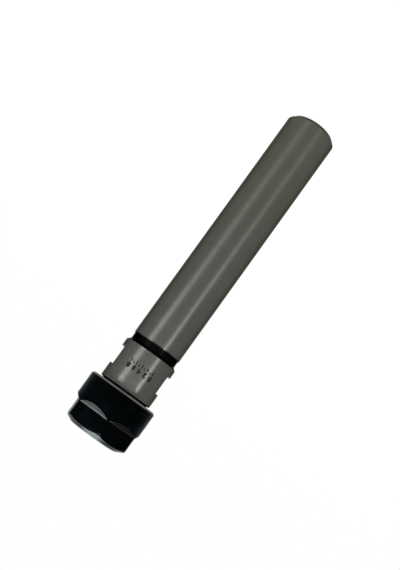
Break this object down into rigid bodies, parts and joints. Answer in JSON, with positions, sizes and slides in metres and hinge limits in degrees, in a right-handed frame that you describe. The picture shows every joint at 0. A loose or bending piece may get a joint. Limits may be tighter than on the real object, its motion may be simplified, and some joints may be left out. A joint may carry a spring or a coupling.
{
  "type": "collet chuck holder",
  "caption": "Straight round shank tool holder with a hexagon clamping nut that presses a slotted spring collet into a taper seat.",
  "frame": {"origin": "centre of the shank's end face, which the part stands on", "axes": "+Z along the axis from the shank to the nut; -Y is the side of the collar with the marking; the two spanner flats face +X and -X"},
  "size_m": [0.028, 0.028, 0.1402],
  "materials": {
    "ground_steel": "hardened steel, ground round the shank and collar, black in the relief groove",
    "blackened_steel": "smooth black oxide with a soft sheen",
    "collet_steel": "bright fine ground spring steel"
  },
  "bodies": {
    "chuck_body": {"chuck_body": "ground_steel"},
    "collet": {"collet": "collet_steel"},
    "clamping_nut": {"clamping_nut": "blackened_steel"}
  },
  "joints": [
    {"name": "collet_draw", "type": "slide", "parent": "chuck_body", "child": "collet", "axis": [0, 0, 1], "range_m": [0, 0.0091]},
    {"name": "nut_turn", "type": "hinge", "parent": "collet", "child": "clamping_nut", "pos_m": [0, 0, 0.1303], "axis": [0, 0, 1], "range_deg": [0, 2160]}
  ],
  "couplings": [
    {"joint": "collet_draw", "follows": "nut_turn", "m_per_rad": 0.00023873}
  ]
}
